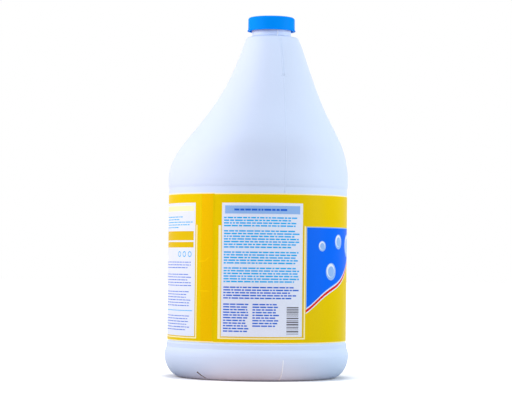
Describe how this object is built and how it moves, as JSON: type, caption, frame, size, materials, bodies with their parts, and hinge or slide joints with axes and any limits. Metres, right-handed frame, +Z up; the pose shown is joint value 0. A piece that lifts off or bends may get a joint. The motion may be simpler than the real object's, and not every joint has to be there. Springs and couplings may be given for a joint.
{
  "type": "bleach bottle",
  "caption": "Round blow-moulded jug with an off-centre neck, a hollow pass-through handle, a screw cap and a wrap-round film label, for liquid bleach.",
  "frame": {"origin": "middle of the base, on the floor", "axes": "+Z up; -Y is the label's front; -X is the side that the neck leans to; +X is the handle's side"},
  "size_m": [0.1634, 0.1634, 0.3168],
  "materials": {
    "bottle": "satin white blow-moulded polyethylene",
    "cap": "moulded blue plastic",
    "liner": "white foam",
    "label": "printed yellow film"
  },
  "bodies": {
    "bottle": {"bottle": "bottle", "wrap_label": "label"},
    "liner": {"cap_liner": "liner"},
    "cap": {"cap": "cap"}
  },
  "joints": [
    {"name": "cap_lift", "type": "slide", "parent": "bottle", "child": "liner", "axis": [0, 0, 1], "range_m": [0, 0.00634]},
    {"name": "cap_turn", "type": "hinge", "parent": "liner", "child": "cap", "pos_m": [-0.033, 0, 0.31], "axis": [0, 0, 1], "range_deg": [0, 540]}
  ],
  "couplings": [
    {"joint": "cap_turn", "follows": "cap_lift", "rad_per_m": 1485.9}
  ]
}
